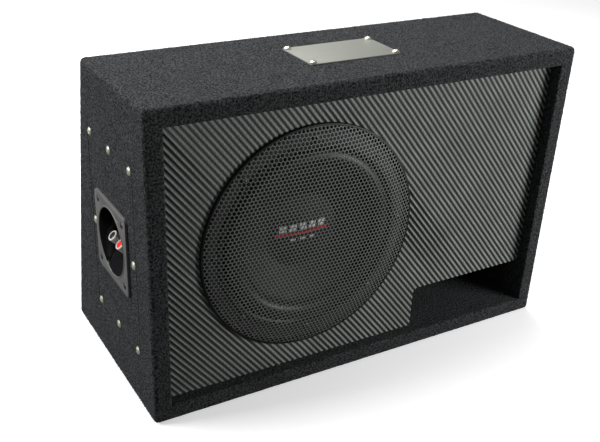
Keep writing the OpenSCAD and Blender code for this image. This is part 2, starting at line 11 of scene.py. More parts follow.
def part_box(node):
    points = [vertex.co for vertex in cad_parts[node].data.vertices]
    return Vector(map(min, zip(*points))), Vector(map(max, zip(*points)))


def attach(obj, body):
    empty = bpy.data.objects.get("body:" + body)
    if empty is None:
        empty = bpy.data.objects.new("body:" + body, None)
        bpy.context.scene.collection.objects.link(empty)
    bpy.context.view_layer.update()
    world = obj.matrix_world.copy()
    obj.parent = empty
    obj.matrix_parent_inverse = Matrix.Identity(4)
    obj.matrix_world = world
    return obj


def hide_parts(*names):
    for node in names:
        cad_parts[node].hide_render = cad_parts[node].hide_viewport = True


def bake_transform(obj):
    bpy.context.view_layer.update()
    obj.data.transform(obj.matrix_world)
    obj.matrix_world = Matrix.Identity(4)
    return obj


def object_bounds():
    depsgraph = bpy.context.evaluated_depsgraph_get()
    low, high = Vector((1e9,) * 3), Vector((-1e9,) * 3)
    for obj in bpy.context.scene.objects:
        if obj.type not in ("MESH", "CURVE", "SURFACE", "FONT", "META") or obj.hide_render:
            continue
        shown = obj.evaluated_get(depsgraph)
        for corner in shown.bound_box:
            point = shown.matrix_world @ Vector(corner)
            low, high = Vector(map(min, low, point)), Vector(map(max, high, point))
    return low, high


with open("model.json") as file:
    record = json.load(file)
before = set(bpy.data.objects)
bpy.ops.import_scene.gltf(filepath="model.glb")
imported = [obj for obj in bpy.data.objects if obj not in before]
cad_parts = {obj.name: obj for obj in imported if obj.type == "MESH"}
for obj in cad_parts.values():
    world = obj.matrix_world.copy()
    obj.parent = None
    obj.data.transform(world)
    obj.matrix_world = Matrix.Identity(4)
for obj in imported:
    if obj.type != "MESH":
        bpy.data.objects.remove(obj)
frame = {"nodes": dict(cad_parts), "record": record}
nodes = frame["nodes"]
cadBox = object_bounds()
mm = 0.001
print("frame loaded:", len(nodes), "CAD nodes")

def opened(mesh):
    bm = bmesh.new()
    bm.from_mesh(mesh)
    return bm


def stored(bm, mesh):
    bm.to_mesh(mesh)
    bm.free()


def moved(bm, matrix):
    bmesh.ops.transform(bm, matrix=matrix, verts=bm.verts)
    return bm


def facing(axis):
    return axis.to_track_quat("Z", "Y").to_matrix().to_4x4()


def linked(name, data):
    obj = bpy.data.objects.new(name, data)
    bpy.context.scene.collection.objects.link(obj)
    return obj


def toObject(bm, name):
    bmesh.ops.recalc_face_normals(bm, faces=bm.faces)
    obj = linked(name, bpy.data.meshes.new(name))
    stored(bm, obj.data)
    return obj


def shadeByAngle(mesh, angle):
    bm = opened(mesh)
    limit = math.radians(angle)
    for face in bm.faces:
        face.smooth = True
    for edge in bm.edges:
        edge.smooth = len(edge.link_faces) == 2 and edge.calc_face_angle(math.pi) < limit
    stored(bm, mesh)


def newPiece(name, bm, smoothAngle=35):
    piece = toObject(bm, name)
    shadeByAngle(piece.data, smoothAngle)
    return piece


def dress(data, material):
    data.materials.clear()
    data.materials.append(material)


def finishPiece(piece, material, body, slotName, *replaced):
    dress(piece.data, material)
    if body:
        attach(piece, body)
    if replaced:
        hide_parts(*replaced)
    return piece


def welded(node):
    bm = opened(nodes[node].data)
    bmesh.ops.remove_doubles(bm, verts=bm.verts, dist=1e-6)
    return bm


def flattened(node):
    # welded, with the triangles of each flat face joined
    bm = welded(node)
    bmesh.ops.dissolve_limit(bm, angle_limit=math.radians(0.6), verts=bm.verts, edges=bm.edges)
    return bm


def isSharp(edge):
    return len(edge.link_faces) == 2 and edge.calc_face_angle(0) > 0.6


def easeEdges(bm, edges, width, segments=2, clamp=False):
    bmesh.ops.bevel(bm, geom=edges, offset=width, segments=segments, profile=0.5, affect="EDGES",
                    clamp_overlap=clamp)


def merge(bm, part):
    # adds one bmesh to another
    temp = bpy.data.meshes.new("part")
    stored(part, temp)
    bm.from_mesh(temp)
    bpy.data.meshes.remove(temp)


def solidsOf(node):
    # the separate solids of a grouped node, as (lowest, highest) corners
    bm = welded(node)
    bm.verts.index_update()
    seen = set()
    boxes = []
    for start in bm.verts:
        if start.index in seen:
            continue
        stack = [start]
        seen.add(start.index)
        found = []
        while stack:
            vert = stack.pop()
            found.append(vert.co.copy())
            for edge in vert.link_edges:
                other = edge.other_vert(vert)
                if other.index not in seen:
                    seen.add(other.index)
                    stack.append(other)
        low = Vector([min(c[i] for c in found) for i in range(3)])
        high = Vector([max(c[i] for c in found) for i in range(3)])
        boxes.append((low, high))
    bm.free()
    return boxes


def softened(node, material, body, slotName, width):
    # a copy of a hard CAD piece with its sharp edges eased
    bm = flattened(node)
    easeEdges(bm, [e for e in bm.edges if isSharp(e)], width, clamp=True)
    return finishPiece(newPiece(node + ".eased", bm), material, body, slotName, node)


def lathe(profile, steps, closed=True):
    # profile is (radius, height) pairs, turned about Z
    bm = bmesh.new()
    rings = []
    for radius, height in profile:
        # a ring on the axis is a single point
        rings.append([bm.verts.new((radius * math.cos(2 * math.pi * i / steps),
                                    radius * math.sin(2 * math.pi * i / steps), height))
                      for i in range(steps if radius > 0 else 1)])
    for a, b in zip(rings, rings[1:] + (rings[:1] if closed else [])):
        if len(a) == 1 and len(b) == 1:
            continue
        for i in range(steps):
            j = (i + 1) % steps
            if len(a) == 1:
                bm.faces.new((a[0], b[j], b[i]))
            elif len(b) == 1:
                bm.faces.new((a[i], a[j], b[0]))
            else:
                bm.faces.new((a[i], a[j], b[j], b[i]))
    return bm


# shader groups, shared by several materials


def makeGroup(name, inputs, outputs):
    group = bpy.data.node_groups.new(name, "ShaderNodeTree")
    for label, kind, value in inputs:
        sock = group.interface.new_socket(name=label, in_out="INPUT", socket_type=kind)
        sock.default_value = value
    for label, kind in outputs:
        group.interface.new_socket(name=label, in_out="OUTPUT", socket_type=kind)
    return group, group.nodes.new("NodeGroupInput"), group.nodes.new("NodeGroupOutput")


def link(tree, a, b):
    tree.links.new(a, b)


def feed(tree, value, socket):
    # a number or a colour is set on the socket, anything else is linked to it
    if isinstance(value, (int, float)):
        socket.default_value = value
    elif isinstance(value, tuple):
        socket.default_value = (*value, 1)
    else:
        link(tree, value, socket)


def setInputs(node, values):
    for label, value in values.items():
        node.inputs[label].default_value = value


def objectCoord(tree):
    return tree.nodes.new("ShaderNodeTexCoord").outputs["Object"]


def mathNode(tree, kind, a, b=None, clamp=False):
    node = tree.nodes.new("ShaderNodeMath")
    node.operation = kind
    node.use_clamp = clamp
    feed(tree, a, node.inputs[0])
    if b is not None:
        feed(tree, b, node.inputs[1])
    return node.outputs[0]


def noiseNode(tree, coord, scale, detail=3, rough=0.55):
    node = tree.nodes.new("ShaderNodeTexNoise")
    setInputs(node, {"Detail": detail, "Roughness": rough})
    feed(tree, scale, node.inputs["Scale"])
    link(tree, coord, node.inputs["Vector"])
    return node.outputs["Fac"]


def mixColour(tree, fac, a, b):
    node = tree.nodes.new("ShaderNodeMix")
    node.data_type = "RGBA"
    for index, value in ((0, fac), (6, a), (7, b)):
        feed(tree, value, node.inputs[index])
    return node.outputs[2]


def rangeNode(tree, value, a, b, c=0.0, d=1.0):
    node = tree.nodes.new("ShaderNodeMapRange")
    link(tree, value, node.inputs[0])
    for i, number in enumerate((a, b, c, d)):
        node.inputs[i + 1].default_value = number
    return node.outputs[0]


def scaled(tree, colour, gain):
    node = tree.nodes.new("ShaderNodeVectorMath")
    node.operation = "SCALE"
    link(tree, colour, node.inputs[0])
    link(tree, gain, node.inputs["Scale"])
    return node.outputs[0]


def pileGroup():
    # short carpet pile: tufts, dark gaps and the odd pale fibre
    group, gi, go = makeGroup(
        "carpetPile",
        [("Fibre", "NodeSocketColor", (0.03, 0.03, 0.03, 1)),
         ("Fleck", "NodeSocketColor", (0.2, 0.2, 0.2, 1)),
         ("Tuft Scale", "NodeSocketFloat", 900.0), ("Fleck Share", "NodeSocketFloat", 0.3)],
        [("Colour", "NodeSocketColor"), ("Height", "NodeSocketFloat")])
    coord = objectCoord(group)
    tuft = noiseNode(group, coord, gi.outputs["Tuft Scale"], 2, 0.55)
    broad = noiseNode(group, coord, 45, 3, 0.6)
    fleck = noiseNode(group, coord, 700, 2, 0.6)
    dark = rangeNode(group, tuft, 0.38, 0.62, 0.15, 1.85)
    patch = rangeNode(group, broad, 0.3, 0.7, 0.86, 1.14)
    base = scaled(group, gi.outputs["Fibre"], mathNode(group, "MULTIPLY", dark, patch))
    mask = mathNode(group, "MULTIPLY", rangeNode(group, fleck, 0.58, 0.72), gi.outputs["Fleck Share"],
                    clamp=True)
    link(group, mixColour(group, mask, base, gi.outputs["Fleck"]), go.inputs["Colour"])
    link(group, mathNode(group, "ADD", tuft, mathNode(group, "MULTIPLY", fleck, 0.5)),
         go.inputs["Height"])
    return group


def wearGroup():
    # fine moulding or machining texture with a broad smear of tone and paler edges
    group, gi, go = makeGroup(
        "surfaceWear",
        [("Base", "NodeSocketColor", (0.1, 0.1, 0.1, 1)),
         ("Edge", "NodeSocketColor", (0.3, 0.3, 0.3, 1)),
         ("Edge Share", "NodeSocketFloat", 0.4), ("Grain Scale", "NodeSocketFloat", 1200.0),
         ("Roughness", "NodeSocketFloat", 0.4), ("Roughness Swing", "NodeSocketFloat", 0.12)],
        [("Colour", "NodeSocketColor"), ("Roughness", "NodeSocketFloat"),
         ("Height", "NodeSocketFloat")])
    coord = objectCoord(group)
    geometry = group.nodes.new("ShaderNodeNewGeometry")
    grain = noiseNode(group, coord, gi.outputs["Grain Scale"], 3, 0.6)
    smear = noiseNode(group, coord, 60, 4, 0.6)
    edge = rangeNode(group, geometry.outputs["Pointiness"], 0.52, 0.62)
    share = mathNode(group, "MULTIPLY", edge, gi.outputs["Edge Share"], clamp=True)
    base = scaled(group, gi.outputs["Base"], rangeNode(group, smear, 0.3, 0.7, 0.9, 1.1))
    link(group, mixColour(group, share, base, gi.outputs["Edge"]), go.inputs["Colour"])
    swing = mathNode(group, "MULTIPLY", mathNode(group, "SUBTRACT", smear, 0.5),
                     gi.outputs["Roughness Swing"])
    link(group, mathNode(group, "ADD", gi.outputs["Roughness"], swing, clamp=True),
         go.inputs["Roughness"])
    link(group, grain, go.inputs["Height"])
    return group


def threadGroup():
    # crossed threads at two angles in the plane of the front board
    group, gi, go = makeGroup(
        "vinylThreads",
        [("Pitch", "NodeSocketFloat", 0.0027), ("Angle", "NodeSocketFloat", 0.8)],
        [("Line", "NodeSocketFloat")])
    coord = objectCoord(group)
    parts = group.nodes.new("ShaderNodeSeparateXYZ")
    link(group, coord, parts.inputs[0])
    cosine = mathNode(group, "COSINE", gi.outputs["Angle"])
    sine = mathNode(group, "SINE", gi.outputs["Angle"])
    along = mathNode(group, "ADD", mathNode(group, "MULTIPLY", parts.outputs["X"], cosine),
                     mathNode(group, "MULTIPLY", parts.outputs["Z"], sine))
    phase = mathNode(group, "MULTIPLY", mathNode(group, "DIVIDE", along, gi.outputs["Pitch"]),
                     2 * math.pi)
    wave = mathNode(group, "SINE", phase)
    link(group, rangeNode(group, wave, -1, 1), go.inputs["Line"])
    return group


pile = pileGroup()
wear = wearGroup()
threads = threadGroup()

carpetLook = {"fibre": (0.030, 0.031, 0.032), "fleck": (0.16, 0.164, 0.170), "tuft": 430.0,
              "fleckShare": 0.35, "bump": 0.9}
# crest and valley colours: painted light on the rib crests and painted shade in the valleys
vinylLook = {"crest": (0.262, 0.280, 0.262), "valley": (0.020, 0.022, 0.021), "roughness": 0.5,
             "specular": 0.15, "threads": ((2.84, 44.5), (2.67, 17))}


def newMaterial(name):
    material = bpy.data.materials.new(name)
    material.use_nodes = True
    tree = material.node_tree
    return material, tree, tree.nodes["Principled BSDF"]


def groupNode(tree, group, values):
    node = tree.nodes.new("ShaderNodeGroup")
    node.node_tree = group
    setInputs(node, values)
    return node


def bump(tree, height, bsdf, strength, distance):
    node = tree.nodes.new("ShaderNodeBump")
    setInputs(node, {"Strength": strength, "Distance": distance})
    link(tree, height, node.inputs["Height"])
    link(tree, node.outputs[0], bsdf.inputs["Normal"])


def carpetMaterial(name, look):
    material, tree, bsdf = newMaterial(name)
    node = groupNode(tree, pile, {"Fibre": (*look["fibre"], 1), "Fleck": (*look["fleck"], 1),
                                  "Tuft Scale": look["tuft"], "Fleck Share": look["fleckShare"]})
    link(tree, node.outputs["Colour"], bsdf.inputs["Base Color"])
    setInputs(bsdf, {"Roughness": 0.95, "Specular IOR Level": 0.1, "Sheen Weight": 0.04,
                     "Sheen Roughness": 0.6, "Sheen Tint": (0.6, 0.63, 0.7, 1)})
    bump(tree, node.outputs["Height"], bsdf, look["bump"], 0.0012)
    return material


def wornMaterial(name, base, edge, roughness, metallic=0.0, edgeShare=0.35, grain=1400.0,
                 grainDepth=0.00004, coat=0.0, specular=0.5):
    material, tree, bsdf = newMaterial(name)
    node = groupNode(tree, wear, {"Base": (*base, 1), "Edge": (*edge, 1), "Edge Share": edgeShare,
                                  "Grain Scale": grain, "Roughness": roughness,
                                  "Roughness Swing": 0.12})
    link(tree, node.outputs["Colour"], bsdf.inputs["Base Color"])
    link(tree, node.outputs["Roughness"], bsdf.inputs["Roughness"])
    setInputs(bsdf, {"Metallic": metallic, "Coat Weight": coat, "Specular IOR Level": specular})
    bump(tree, node.outputs["Height"], bsdf, 0.35, grainDepth)
    return material


def vinylMaterial():
    material, tree, bsdf = newMaterial("ribbedVinyl")
    coord = objectCoord(tree)
    lines = []
    for pitch, angle in vinylLook["threads"]:
        values = {"Pitch": pitch * mm, "Angle": math.radians(angle)}
        lines.append(groupNode(tree, threads, values).outputs["Line"])
    both = mathNode(tree, "MULTIPLY", *lines)
    attribute = tree.nodes.new("ShaderNodeAttribute")
    attribute.attribute_name = "ribHeight"
    rib = rangeNode(tree, attribute.outputs["Fac"], 0.22, 0.95)
    # painted light: towards the left the crests are painted darker and the valleys lighter, standing in
    # for the flatter light across the ribs there
    across = tree.nodes.new("ShaderNodeSeparateXYZ")
    link(tree, coord, across.inputs[0])
    contrast = rangeNode(tree, across.outputs["X"], -0.27, -0.02, 0.5, 1.0)
    lift = rangeNode(tree, across.outputs["X"], -0.27, -0.02, 0.14, 0.0)
    rib = mathNode(tree, "ADD", mathNode(tree, "MULTIPLY", rib, contrast), lift)
    tone = rangeNode(tree, noiseNode(tree, coord, 25, 3), 0.3, 0.7, 0.9, 1.1)
    # painted shade and light: the colour runs from the near-black valley to the pale crest with the rib
    # height, standing in for the shade in the valleys and the light on the crests
    colour = mixColour(tree, rib, vinylLook["valley"], vinylLook["crest"])
    weave = rangeNode(tree, both, 0.0, 1.0, 1.16, 0.68)
    link(tree, scaled(tree, colour, mathNode(tree, "MULTIPLY", tone, weave)), bsdf.inputs["Base Color"])
    setInputs(bsdf, {"Roughness": vinylLook["roughness"], "Specular IOR Level": vinylLook["specular"]})
    fine = noiseNode(tree, coord, 2600, 2)
    bump(tree, mathNode(tree, "ADD", both, mathNode(tree, "MULTIPLY", fine, 0.3)), bsdf, 0.35, 0.00025)
    return material


def brushedMaterial(name, colour, roughness, metallic=1.0):
    material, tree, bsdf = newMaterial(name)
    coord = objectCoord(tree)
    mapping = tree.nodes.new("ShaderNodeMapping")
    mapping.inputs["Scale"].default_value = (12, 900, 900)
    link(tree, coord, mapping.inputs[0])
    streak = noiseNode(tree, mapping.outputs[0], 3, 4, 0.6)
    smear = noiseNode(tree, coord, 40, 3)
    pale = tuple(min(1, c * 1.15) for c in colour)
    link(tree, mixColour(tree, streak, colour, pale), bsdf.inputs["Base Color"])
    value = mathNode(tree, "ADD", rangeNode(tree, streak, 0.3, 0.7, roughness - 0.07, roughness + 0.07),
                     rangeNode(tree, smear, 0.3, 0.7, -0.03, 0.05))
    link(tree, value, bsdf.inputs["Roughness"])
    bsdf.inputs["Metallic"].default_value = metallic
    bump(tree, streak, bsdf, 0.2, 0.00005)
    return material


def boardMaterial():
    material, tree, bsdf = newMaterial("rawBoard")
    coord = objectCoord(tree)
    fibre = noiseNode(tree, coord, 700, 5, 0.7)
    broad = noiseNode(tree, coord, 30, 3)
    colour = mixColour(tree, fibre, (0.24, 0.16, 0.09), (0.42, 0.30, 0.18))
    link(tree, mixColour(tree, rangeNode(tree, broad, 0.4, 0.7, 0.0, 0.35), colour, (0.20, 0.14, 0.08)),
         bsdf.inputs["Base Color"])
    bsdf.inputs["Roughness"].default_value = 0.85
    bump(tree, fibre, bsdf, 0.3, 0.0002)
    return material


mats = {
    "carpet": carpetMaterial("charcoalCarpet", carpetLook),
    "vinyl": vinylMaterial(),
    "board": boardMaterial(),
    "pine": wornMaterial("pineBatten", (0.50, 0.36, 0.20), (0.6, 0.45, 0.28), 0.7, grain=500.0),
    "zinc": wornMaterial("oliveZinc", (0.50, 0.53, 0.42), (0.75, 0.77, 0.68), 0.36, 0.45, 0.5),
    "nickel": wornMaterial("brightNickel", (0.80, 0.75, 0.66), (0.90, 0.87, 0.80), 0.26, 0.8, 0.4),
    # painted reflection: the caps' nickel is far less metallic than the bright nickel, so its pale
    # colour stands in for the bright reflections on the plated caps
    "capNickelPaintedReflection": wornMaterial("platedCapPaintedReflection", (0.80, 0.77, 0.72), (0.92, 0.90, 0.86), 0.3, 0.35, 0.4),
    "blackScrew": wornMaterial("blackOxide", (0.035, 0.035, 0.035), (0.20, 0.20, 0.20), 0.32, 0.3, 0.5),
    "flange": wornMaterial("mouldedFlange", (0.110, 0.110, 0.108), (0.24, 0.24, 0.235), 0.44, 0.0,
                           0.5, 2200.0, 0.00012),
    "dish": wornMaterial("glossDish", (0.004, 0.004, 0.005), (0.015, 0.015, 0.015), 0.16, specular=0.3),
    "red": wornMaterial("redPlastic", (0.95, 0.010, 0.008), (0.97, 0.05, 0.04), 0.3, coat=0.2),
    "black": wornMaterial("blackPlastic", (0.012, 0.012, 0.012), (0.05, 0.05, 0.05), 0.3, coat=0.2),
    "basket": wornMaterial("basketPaint", (0.018, 0.018, 0.019), (0.07, 0.07, 0.07), 0.5),
    "steel": wornMaterial("darkPlatedSteel", (0.20, 0.20, 0.21), (0.35, 0.35, 0.36), 0.42, 0.9),
    "ferrite": wornMaterial("groundFerrite", (0.05, 0.05, 0.053), (0.1, 0.1, 0.1), 0.6),
    "cone": wornMaterial("pressedPulp", (0.008, 0.008, 0.009), (0.024, 0.024, 0.024), 0.62,
                         grain=900.0, grainDepth=0.00025),
    "rubber": wornMaterial("surroundRubber", (0.012, 0.012, 0.012), (0.04, 0.04, 0.04), 0.38),
    "foam": wornMaterial("closedFoam", (0.015, 0.015, 0.015), (0.03, 0.03, 0.03), 0.9, grain=600.0,
                         grainDepth=0.0003),
    "cloth": wornMaterial("resinCloth", (0.50, 0.34, 0.12), (0.6, 0.42, 0.18), 0.75, grain=1800.0),
    "foil": brushedMaterial("formerFoil", (0.62, 0.62, 0.63), 0.3),
    "copper": brushedMaterial("copperWire", (0.68, 0.30, 0.15), 0.35),
    "brass": wornMaterial("tabBrass", (0.60, 0.42, 0.16), (0.75, 0.58, 0.3), 0.3, 1.0),
    "mesh": wornMaterial("grillePowderCoat", (0.142, 0.152, 0.142), (0.25, 0.26, 0.25), 0.5,
                         edgeShare=0.4, grain=1800.0, grainDepth=0.00005, specular=0.25),
    "rim": wornMaterial("grilleRimPaintAndHoleShade", (0.005, 0.005, 0.005), (0.02, 0.02, 0.02), 0.42,
                        specular=0.25),
    "badge": brushedMaterial("badgeAluminium", (0.200, 0.206, 0.180), 0.55, 0.3),
    "whitePrint": wornMaterial("whitePrint", (0.90, 0.90, 0.88), (0.92, 0.92, 0.9), 0.5),
    "redPrint": wornMaterial("redPrint", (0.75, 0.02, 0.02), (0.8, 0.05, 0.05), 0.5),
}
print("materials:", len(mats))

# camera and light first, so the framing is settled

view = {"azimuth": -31.0, "elevation": 28.42, "roll": 2.55, "lens": 53.93,
        "shift": (0.00897, 0.0429), "offset": (18.543, -85.288, -1220.93)}


def placeCamera():
    a, e, r = (math.radians(view[k]) for k in ("azimuth", "elevation", "roll"))
    back = Vector((math.sin(a) * math.cos(e), -math.cos(a) * math.cos(e), math.sin(e)))
    side = Vector((0, 0, 1)).cross(back).normalized()
    up = back.cross(side)
    right = math.cos(r) * side + math.sin(r) * up
    top = -math.sin(r) * side + math.cos(r) * up
    rows = Matrix((right, top, back))
    place = -(rows.transposed() @ (Vector(view["offset"]) * mm))
    data = bpy.data.cameras.new("studioCamera")
    data.lens = view["lens"]
    data.sensor_width = 36
    data.shift_x, data.shift_y = view["shift"]
    data.clip_start = 0.01
    camera = linked("studioCamera", data)
    camera.matrix_world = Matrix.Translation(place) @ rows.transposed().to_4x4()
    bpy.context.scene.camera = camera


def areaLight(name, place, target, size, power):
    data = bpy.data.lights.new(name, "AREA")
    data.size = size
    data.energy = power
    lamp = linked(name, data)
    place = Vector(place)
    lamp.matrix_world = Matrix.Translation(place) @ (Vector(target) - place).to_track_quat(
        "-Z", "Y").to_matrix().to_4x4()


placeCamera()
middle = (cadBox[0] + cadBox[1]) / 2
areaLight("overheadSoftbox", (-0.1, 0.8, 1.85), middle, 1.7, 55)
areaLight("rightKey", (0.75, -0.78, 0.32), (0.16, 0, 0.14), 0.4, 8.2)
areaLight("leftFill", (-1.55, 0.5, 0.9), (-0.2, 0, 0.18), 0.8, 26)
world = bpy.data.worlds.new("studioWorld")
bpy.context.scene.world = world
world.use_nodes = True
sky = world.node_tree
# dim for the light it gives, white where the camera sees it
dim = sky.nodes["Background"]
backdrop = sky.nodes.new("ShaderNodeBackground")
for node, strength in ((dim, 0.13), (backdrop, 1.0)):
    setInputs(node, {"Color": (1, 1, 1, 1), "Strength": strength})
seen = sky.nodes.new("ShaderNodeMixShader")
link(sky, sky.nodes.new("ShaderNodeLightPath").outputs["Is Camera Ray"], seen.inputs[0])
link(sky, dim.outputs[0], seen.inputs[1])
link(sky, backdrop.outputs[0], seen.inputs[2])
link(sky, seen.outputs[0], sky.nodes["World Output"].inputs["Surface"])
bpy.context.scene.view_settings.view_transform = "Standard"

floorBm = bmesh.new()
bmesh.ops.create_grid(floorBm, x_segments=1, y_segments=1, size=14)
floor = newPiece("studioFloor", floorBm)
floor.location.z = cadBox[0].z - 0.0002
floorMat, floorTree, floorBsdf = newMaterial("paleFloor")
mottle = noiseNode(floorTree, objectCoord(floorTree), 3)
link(floorTree, mixColour(floorTree, mottle, (0.86, 0.86, 0.86), (0.88, 0.88, 0.88)),
     floorBsdf.inputs["Base Color"])
setInputs(floorBsdf, {"Roughness": 0.85, "Emission Color": (1, 1, 1, 1), "Emission Strength": 0.45})
floor.visible_diffuse = False
floor.visible_glossy = False
floor.data.materials.append(floorMat)
print("camera, lights and floor placed")

# carpet covering

carpetCut = {"edgeRound": 6.0, "panelRound": 0.9, "grid": 4.2, "fuzz": 0.35, "windowGap": 0.9}


def boxMesh(low, high):
    bm = bmesh.new()
    bmesh.ops.create_cube(bm, size=1)
    size = high - low
    return moved(bm, Matrix.Translation((low + high) / 2)
                 @ Matrix.Diagonal((size.x, size.y, size.z, 1)))


def wedgeMesh(low, high, topBack):
    # box whose back leans from high.y at the bottom to topBack at the top
    bm = boxMesh(low, high)
    for vert in bm.verts:
        if vert.co.y > (low.y + high.y) / 2 and vert.co.z > (low.z + high.z) / 2:
            vert.co.y = topBack
    return bm


def applyModifiers(obj):
    bpy.context.view_layer.update()
    graph = bpy.context.evaluated_depsgraph_get()
    mesh = bpy.data.meshes.new_from_object(obj.evaluated_get(graph))
    obj.modifiers.clear()
    obj.data = mesh


def cut(obj, tool):
    modifier = obj.modifiers.new("cut", "BOOLEAN")
    modifier.operation = "DIFFERENCE"
    modifier.solver = "EXACT"
    modifier.use_self = True
    modifier.object = tool
    applyModifiers(obj)
    bpy.data.objects.remove(tool)


def sliced(bm, spacing):
    # cuts the faces into a grid no coarser than spacing along each axis
    for axis in range(3):
        low = min(v.co[axis] for v in bm.verts)
        high = max(v.co[axis] for v in bm.verts)
        count = int((high - low) / spacing)
        normal = Vector((0, 0, 0))
        normal[axis] = 1
        for i in range(1, count):
            point = Vector((0, 0, 0))
            point[axis] = low + (high - low) * i / count
            bmesh.ops.bisect_plane(bm, geom=bm.verts[:] + bm.edges[:] + bm.faces[:], dist=1e-7,
                                   plane_co=point, plane_no=normal)


def roughen(obj, amount, keepInside):
    # lifts the nap unevenly, inwards from the outer box so the size stays
    mesh = obj.data
    normals = [v.normal.copy() for v in mesh.vertices]
    for vert, normal in zip(mesh.vertices, normals):
        if keepInside(vert.co):
            continue
        lump = noise.noise(vert.co * 420) * 0.6 + noise.noise(vert.co * 160) * 0.4
        vert.co += normal * amount * mm * (lump - 0.6)


outerLow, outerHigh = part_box("front_edge_carpet")
baseLow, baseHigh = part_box("bottom_carpet")
topLow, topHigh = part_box("top_carpet")
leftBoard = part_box("left_side_panel")
carpetT = leftBoard[0].x - outerLow.x
skinLow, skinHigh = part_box("baffle_skin")
leanAll = (baseHigh.y - topHigh.y) / (topLow.z - baseLow.z)


def buildWrap():
    low = Vector((outerLow.x, outerLow.y, 0))
    high = Vector((outerHigh.x, baseHigh.y, outerHigh.z))
    bm = wedgeMesh(low, high, baseHigh.y - leanAll * high.z)
    easeEdges(bm, bm.edges[:], carpetCut["edgeRound"] * mm, 5)
    shell = toObject(bm, "carpetWrap")
    lowIn = low + Vector((carpetT, carpetT, carpetT))
    # the sheet's thickness measured level, through the leaning back
    inset = carpetT / math.cos(math.atan(leanAll))
    highIn = Vector((high.x - carpetT, baseHigh.y - inset - leanAll * carpetT, high.z - carpetT))
    topIn = baseHigh.y - leanAll * (high.z - carpetT) - inset
    cut(shell, toObject(wedgeMesh(lowIn, highIn, topIn), "coreCut"))
    mouth = boxMesh(Vector((skinLow.x, low.y - 0.02, skinLow.z)),
                    Vector((skinHigh.x, low.y + 0.02, skinHigh.z)))
    cut(shell, toObject(mouth, "mouthCut"))
    windowLow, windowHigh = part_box("access_carpet")
    gap = carpetCut["windowGap"] * mm
    window = boxMesh(Vector((low.x - 0.02, windowLow.y - gap, windowLow.z - gap)),
                     Vector((low.x + 0.02, windowHigh.y + gap, windowHigh.z + gap)))
    cut(shell, toObject(window, "windowCut"))
    bm = opened(shell.data)
    bmesh.ops.remove_doubles(bm, verts=bm.verts, dist=1e-6)
    sides = ((0, skinLow.x), (0, skinHigh.x), (2, skinLow.z), (2, skinHigh.z))
    mouthEdges = [e for e in bm.edges if all(abs(v.co.y - low.y) < 1e-5 for v in e.verts)
                  and any(all(abs(v.co[axis] - at) < 1e-5 for v in e.verts) for axis, at in sides)]
    easeEdges(bm, mouthEdges, carpetT * 0.9, 3)
    sliced(bm, carpetCut["grid"] * mm)
    stored(bm, shell.data)
    shadeByAngle(shell.data, 50)
    inside = lambda c: (low.x + 0.0018 < c.x < high.x - 0.0018 and low.y + 0.0018 < c.y
                        and 0.0018 < c.z < high.z - 0.0018)
    roughen(shell, carpetCut["fuzz"], inside)
    return finishPiece(shell, mats["carpet"], "enclosure", "carpet", "top_carpet", "bottom_carpet",
                       "left_carpet", "right_carpet", "back_carpet")


def buildRecess():
    # carpet turned in over the board edges as far as the vinyl
    low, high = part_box("front_edge_carpet")
    reach = Vector(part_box("baffle")[0]).y
    outer = boxMesh(Vector((leftBoard[1].x, low.y + carpetT * 0.95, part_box("bottom_panel")[1].z)),
                    Vector((-leftBoard[1].x, reach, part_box("top_panel")[0].z)))
    piece = toObject(outer, "recessLining")
    cut(piece, toObject(boxMesh(Vector((skinLow.x, low.y - 0.02, skinLow.z)),
                                Vector((skinHigh.x, reach + 0.02, skinHigh.z))), "recessCut"))
    bm = opened(piece.data)
    sliced(bm, carpetCut["grid"] * mm)
    stored(bm, piece.data)
    shadeByAngle(piece.data, 50)
    return finishPiece(piece, mats["carpet"], "enclosure", "carpet", "front_edge_carpet")


wrap = buildWrap()
recess = buildRecess()
print("carpet wrap:", len(wrap.data.polygons), "faces")


def buildAccessCarpet():
    bm = flattened("access_carpet")
    low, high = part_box("access_carpet")
    rim = [e for e in bm.edges if all(abs(v.co.x - low.x) < 1e-6 for v in e.verts) and isSharp(e)]
    easeEdges(bm, rim, carpetCut["panelRound"] * mm)
    sliced(bm, carpetCut["grid"] * mm)
    piece = newPiece("accessCarpet", bm, 50)
    roughen(piece, carpetCut["fuzz"] * 0.6, lambda c: c.x > low.x + 0.0012)
    return finishPiece(piece, mats["carpet"], "enclosure", "carpet", "access_carpet")


accessPiece = buildAccessCarpet()

# loose fibre ends: slim leaning triangles all over the carpet that can be seen
fibres = {"count": 150000, "length": 1.9, "width": 0.8, "lean": 1.0, "seam": 1.5, "root": 0.4,
          "clear": 0.4, "seed": 11}


def facesOf(piece, wanted):
    # triangles and their normals, from the faces a test keeps
    mesh = piece.data
    mesh.calc_loop_triangles()
    count = len(mesh.loop_triangles)
    index = np.empty(count * 3, np.int32)
    mesh.loop_triangles.foreach_get("vertices", index)
    points = np.empty(len(mesh.vertices) * 3, np.float32)
    mesh.vertices.foreach_get("co", points)
    corners = points.reshape(-1, 3)[index.reshape(-1, 3)].astype(float)
    cross = np.cross(corners[:, 1] - corners[:, 0], corners[:, 2] - corners[:, 0])
    area = np.linalg.norm(cross, axis=1) / 2
    normal = cross / np.maximum(2 * area, 1e-12)[:, None]
    keep = wanted(corners.mean(axis=1), normal) & (area > 1e-12)
    return corners[keep], normal[keep], area[keep]


